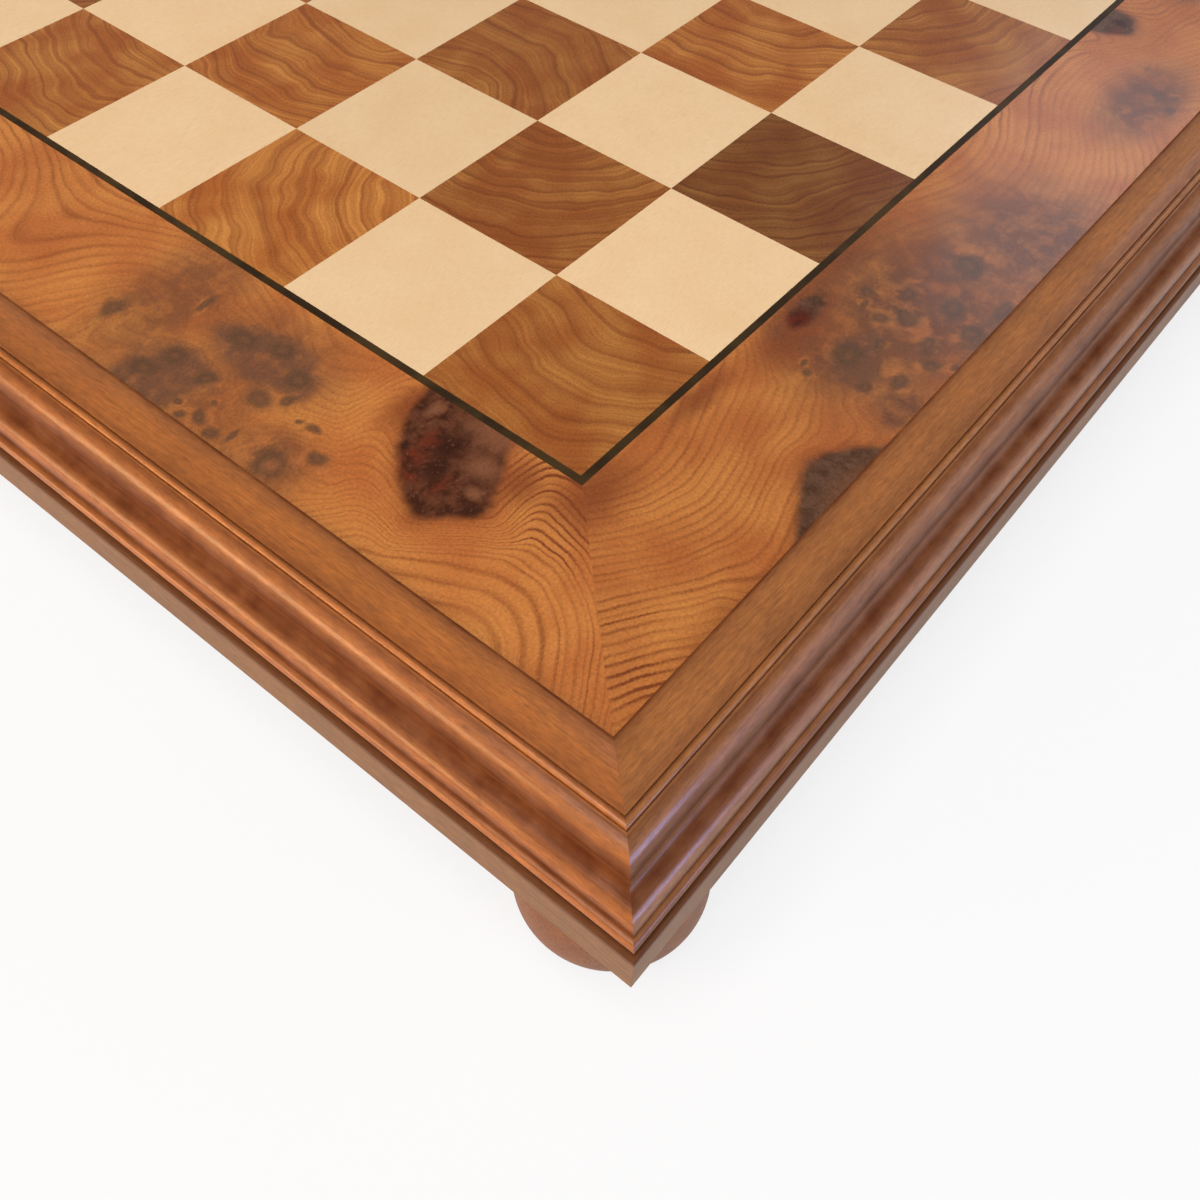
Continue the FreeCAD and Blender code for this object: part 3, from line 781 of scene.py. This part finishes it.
def plinth_darkening(tree, place):
    """Darker towards its top edge, under the moulding, and at the mitres."""
    _, height, joint = outward(tree, place)
    darkened_from, darkened_to = 36.8, 38.8
    edge = add(tree, "MapRange", [height, darkened_from, darkened_to, 0.0, 0.75])
    return add(tree, "Math", [edge, joint], operation="MAXIMUM")


for turns, side in enumerate(SIDES):
    strip = stained(
        "hardwood_stained_plinth_" + side, "yx"[turns % 2], 51.0 + 7 * turns, plinth_darkening,
        "#a0713f", "#8f6132", "#704923", rough=0.5, coat=0.05,
    )
    dress("plinth_strip_" + side, strip)

# ----------------------------------------
# Corner blocks. Four blocks in the corners under the rails; the feet hang on them.
# Beech, sawn and left bare: the same pinkish brown as the tongues.

for number, corner in enumerate(CORNERS):
    block = bare_beech("beech_sawn_bare_" + corner, seed=9.0 + 4 * number)
    dress("corner_block_" + corner, block)

# ----------------------------------------
# Corner screws. Eight countersunk wood screws, 3 x 16, driven up through the blocks.
# Turned and thread-rolled steel with yellow zinc plating and a cross recess in the head.

SCREW_SPOTS = ((0.232, 0.200), (0.200, 0.232))
SCREW_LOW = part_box("corner_screws")[0].z


def turned_rings(mesh, profile, steps, centre):
    """A turned form: rings of vertices, faces between them; profile is (radius, height)."""
    rings = []
    for radius, height in profile:
        ring = []
        for step in range(steps):
            angle = 2 * math.pi * step / steps
            spot = Vector((radius * math.cos(angle), radius * math.sin(angle), height))
            ring.append(mesh.verts.new(centre + spot))
        rings.append(ring)
    for low, high in zip(rings, rings[1:]):
        for step in range(steps):
            after = (step + 1) % steps
            mesh.faces.new((low[step], low[after], high[after], high[step]))
    return rings


def screw(mesh, centre):
    """One screw, head down: a recessed head, a plain neck, eight ribs of thread and a point."""
    steps, ribs, pitch = 24, 8, 0.0011
    head, neck, core, tip = 0.003, 0.0015, 0.0011, 0.00015  # radii
    neck_ends = 0.0050
    rib_shape = ((core, 0.0004), (neck, 0.0008), (0.00145, 0.0010))
    profile = [(head - 0.0001, 0.0), (head, 0.0001), (head, 0.0003), (neck, 0.0018)]
    profile += [(neck, neck_ends)]
    for rib in range(ribs):
        low = neck_ends + rib * pitch
        profile += [(radius, low + height) for radius, height in rib_shape]
    profile += [(0.0010, 0.0142), (tip, 0.0159)]
    rings = turned_rings(mesh, profile, steps, centre)
    mesh.faces.new(rings[-1])
    # The head's face has a cross sunk in it: slots 0.7 mm wide and 3.4 mm across.
    slot, reach, bottom_reach, depth = 0.00035, 0.0017, 0.0009, 0.0013
    outline = [
        (reach, -slot), (reach, slot), (slot, slot), (slot, reach), (-slot, reach),
        (-slot, slot), (-reach, slot), (-reach, -slot), (-slot, -slot), (-slot, -reach),
        (slot, -reach), (slot, -slot),
    ]
    mouth = [mesh.verts.new(centre + Vector((x, y, 0))) for x, y in outline]
    taper = bottom_reach / reach
    bottom = [mesh.verts.new(centre + Vector((x * taper, y * taper, depth))) for x, y in outline]
    count = len(outline)
    for i in range(count):
        j = (i + 1) % count
        mesh.faces.new((mouth[i], mouth[j], bottom[j], bottom[i]))
    mesh.faces.new(bottom)
    rim = rings[0]
    edges = [mesh.edges.get((rim[i], rim[(i + 1) % steps])) for i in range(steps)]
    edges += [mesh.edges.get((mouth[i], mouth[(i + 1) % count])) for i in range(count)]
    bmesh.ops.triangle_fill(mesh, edges=edges, use_beauty=True)


def finished(name, shape):
    """Close a shape: turn its faces outwards and put it in the scene as an object."""
    bmesh.ops.recalc_face_normals(shape, faces=shape.faces)
    mesh = bpy.data.meshes.new(name)
    shape.to_mesh(mesh)
    shape.free()
    placed = bpy.data.objects.new(name, mesh)
    bpy.context.scene.collection.objects.link(placed)
    return placed


shape = bmesh.new()
for x_sign, y_sign in CORNERS.values():
    for x, y in SCREW_SPOTS:
        screw(shape, Vector((x_sign * x, y_sign * y, SCREW_LOW)))
screws = finished("corner_screws_crosshead", shape)
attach(screws, "table")
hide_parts("corner_screws")

# Zinc plating, passivated yellow: a soft straw-coloured shine, cloudy and finely scuffed.
plated, t, place = start("steel_yellow_zinc_plated")
patina = add(t, "TexNoise", {"Vector": place, "Scale": 0.8, "Detail": 3.0})
film = add(t, "Mix", {0: patina, 6: linear("#b9a06a"), 7: linear("#d9c99a")}, **MIXED)
scuffs = add(t, "TexNoise", {"Vector": place, "Scale": 6.0, "Detail": 2.0})
rough = add(t, "MapRange", [scuffs, *SPREAD, 0.28, 0.42])
surface(plated, scuffs, depth=0.01, Base_Color=film, Metallic=1.0, Roughness=rough)
screws.data.materials.append(plated)

# ----------------------------------------
# Foot inserts. Four threaded bushes of turned brass, set in the corner blocks.
# The lathe leaves bright rings; they are drawn 0.8 mm apart, coarser than real, so they show.


def lathe_rings(tree, place, pitch):
    """Fine rings round the vertical axis, such as a lathe tool or a thread leaves."""
    height = add(tree, "SeparateXYZ", [place], out=2)
    turns = add(tree, "Math", [height, 2 * math.pi / pitch], operation="MULTIPLY")
    return add(tree, "Math", [turns], operation="SINE")


brass, t, place = start("brass_turned")
rings = lathe_rings(t, place, pitch=0.8)
tarnish = add(t, "TexNoise", {"Vector": place, "Scale": 0.5, "Detail": 3.0})
gold = add(t, "Mix", {0: tarnish, 6: linear("#b08b45"), 7: linear("#d9b667")}, **MIXED)
surface(brass, rings, depth=0.05, Base_Color=gold, Metallic=1.0, Roughness=0.3)
dress("foot_inserts", brass)

# ----------------------------------------
# Feet. Four flattened balls turned from the same hardwood, stained and lacquered like the rails.
# Each turns on its hanger bolt to level the board. The turner's rings still show, 0.9 mm apart.


def foot_shade_and_base_darkening(tree, place):
    """Darker in the neck, a painted shadow of the frame above it, and darker towards the base."""
    neck_from, neck_to, base_from, base_to = 24.6, 26.2, 2.2, 4.5
    height = add(tree, "SeparateXYZ", [place], out=2)
    # The neck's darkening is a painted shadow of the frame.
    neck = add(tree, "MapRange", [height, neck_from, neck_to, 0.0, 0.75])
    base = add(tree, "MapRange", [height, base_from, base_to, 0.45, 0.0])
    return add(tree, "Math", [neck, base], operation="MAXIMUM")


for number, corner in enumerate(CORNERS):
    foot = stained(
        "hardwood_turned_stained_" + corner, "x", 71.0 + 9 * number, foot_shade_and_base_darkening,
        "#a26634", "#915629", "#6f3e1b", rough=0.48, coat=0.08,
    )
    t = foot.node_tree
    place = add(t, "TexCoord", out="Object")
    place = add(t, "VectorMath", [place, TO_MM], operation="MULTIPLY")
    ring_depth = 0.00003
    rings = lathe_rings(t, place, pitch=0.9)
    relief = add(t, "Bump", {"Strength": 0.5, "Distance": ring_depth, "Height": rings})
    grain = t.nodes["Principled BSDF"].inputs["Normal"].links[0].from_node
    feed(t, grain, {"Normal": relief})
    dress("bun_foot_" + corner, foot)

# ----------------------------------------
# Hanger bolts. Four M6 studs with a wood point, screwed into the feet.
# Rolled steel, zinc plated: bluish grey and half bright, with the thread's rings 1 mm apart.

stud, t, place = start("steel_bright_zinc_plated")
rings = lathe_rings(t, place, pitch=1.0)
dull = add(t, "TexNoise", {"Vector": place, "Scale": 0.7, "Detail": 3.0})
grey = add(t, "Mix", {0: dull, 6: linear("#9a9da0"), 7: linear("#c4c6c8")}, **MIXED)
surface(stud, rings, depth=0.3, Base_Color=grey, Metallic=1.0, Roughness=0.32)
for corner in CORNERS:
    dress("hanger_bolt_" + corner, stud)

# ----------------------------------------
# Felt pads. Four discs glued under the feet, so that they don't scratch a table.
# Pressed wool felt, dyed green: matt and fuzzy, with short hairs lying every way.

felt, t, place = start("felt_pressed_green")
wool = {"Vector": place, "Scale": 3.0, "Detail": 4.0, "Roughness": 0.75, "Distortion": 1.5}
hairs = add(t, "TexNoise", wool)
green = add(t, "Mix", {0: hairs, 6: linear("#1d3a22"), 7: linear("#3f6643")}, **MIXED)
surface(
    felt, hairs, depth=0.25, Base_Color=green, Roughness=0.95, Sheen_Weight=0.4,
    Sheen_Roughness=0.5,
)
for corner in CORNERS:
    dress("felt_pad_" + corner, felt)

# ----------------------------------------
# Floor, light and camera. White paper that curves up round the board, a pale surround and large
# soft lamps, as in a studio. The camera stands over the near corner.

shape = bmesh.new()
around = 64
sweep = [(0.6, 0.0), (2.0, 0.0), (4.5, 0.0), (5.2, 0.1), (5.7, 0.4), (6.0, 1.0), (6.0, 2.6)]
rings = turned_rings(shape, sweep, around, Vector((0, 0, 0)))
shape.faces.new(rings[0])
for face in shape.faces:
    face.smooth = True
floor = finished("floor", shape)

# Paper, uncoated: matt white with soft shadows. Seen straight on it also glows, which keeps its
# white even; in the lacquer it hardly glows.
paper, t, _ = start("paper_matt_white")
shader = t.nodes["Principled BSDF"]
feed(t, shader, {"Base Color": linear("#eef1f6"), "Roughness": 0.9})
seen = add(t, "LightPath", out="Is Camera Ray")
glossy = add(t, "LightPath", out="Is Glossy Ray")
through = add(t, "LightPath", out="Is Transmission Ray")
white_seen, white_mirrored = 0.8, 0.1
seen = add(t, "Math", [seen, through], operation="MAXIMUM")
seen = add(t, "Math", [seen, white_seen], operation="MULTIPLY")
glossy = add(t, "Math", [glossy, white_mirrored], operation="MULTIPLY")
seen = add(t, "Math", [seen, glossy], operation="MAXIMUM")
white = add(t, "Emission", {"Color": (1, 1, 1, 1), "Strength": 1.0})
mixed = add(t, "MixShader", [seen, shader.outputs[0], white])
feed(t, t.nodes["Material Output"], {"Surface": mixed})
floor.data.materials.append(paper)

world = bpy.data.worlds.new("studio")
bpy.context.scene.world = world
world.use_nodes = True
t = world.node_tree
sky_light, sky_seen = 0.15, 0.82
seen = add(t, "LightPath", out="Is Camera Ray")
strength = add(t, "MapRange", [seen, 0.0, 1.0, sky_light, sky_seen])
feed(t, t.nodes["Background"], {"Color": (1, 1, 1, 1), "Strength": strength})


def lamp(name, spot, size, watts, colour, aim=(0, 0, 0.04)):
    """A large soft lamp, turned towards the board."""
    light = bpy.data.lights.new(name, "AREA")
    light.shape = "RECTANGLE"
    light.size, light.size_y = size
    light.energy = watts
    light.color = linear(colour)[:3]
    lamp_object = bpy.data.objects.new(name, light)
    lamp_object.location = spot
    lamp_object.rotation_euler = (Vector(aim) - Vector(spot)).to_track_quat("-Z", "Y").to_euler()
    lamp_object.visible_camera = False
    bpy.context.scene.collection.objects.link(lamp_object)


lamp("softbox_above", (-0.7, -0.2, 1.7), (1.2, 1.2), 25.0, "#fffaf2")
lamp("window_left", (-1.35, 0.62, 0.5), (0.8, 0.45), 10.5, "#ffd3a0")
lamp("window_right", (1.2, -0.06, 0.87), (0.6, 0.4), 1.2, "#e4eaff", (-0.05, -0.21, 0.05))
lamp("window_front", (0.15, -1.35, 0.25), (0.22, 0.44), 4.3, "#a9baff", (-0.2, -0.25, 0.04))
lamp("fill_front", (0.9, -1.3, 0.8), (0.9, 0.9), 3.0, "#e6e8fa")

camera = bpy.data.cameras.new("camera")
camera.sensor_width = 36.0
camera.lens = 36.298
camera.clip_start = 0.01
camera.clip_end = 50.0
camera_object = bpy.data.objects.new("camera", camera)
bpy.context.scene.collection.objects.link(camera_object)
eye_spot = Vector((-0.31064, -0.28507, 0.23692))
aim_spot = Vector((-0.20207, -0.20310, 0.0500))
roll = math.radians(2.689)
view_turn = (aim_spot - eye_spot).to_track_quat("-Z", "Y").to_matrix()
view_turn = view_turn @ Matrix.Rotation(roll, 3, "Z")
camera_object.matrix_world = Matrix.Translation(eye_spot) @ view_turn.to_4x4()
bpy.context.scene.camera = camera_object
bpy.context.scene.view_settings.view_transform = "Standard"
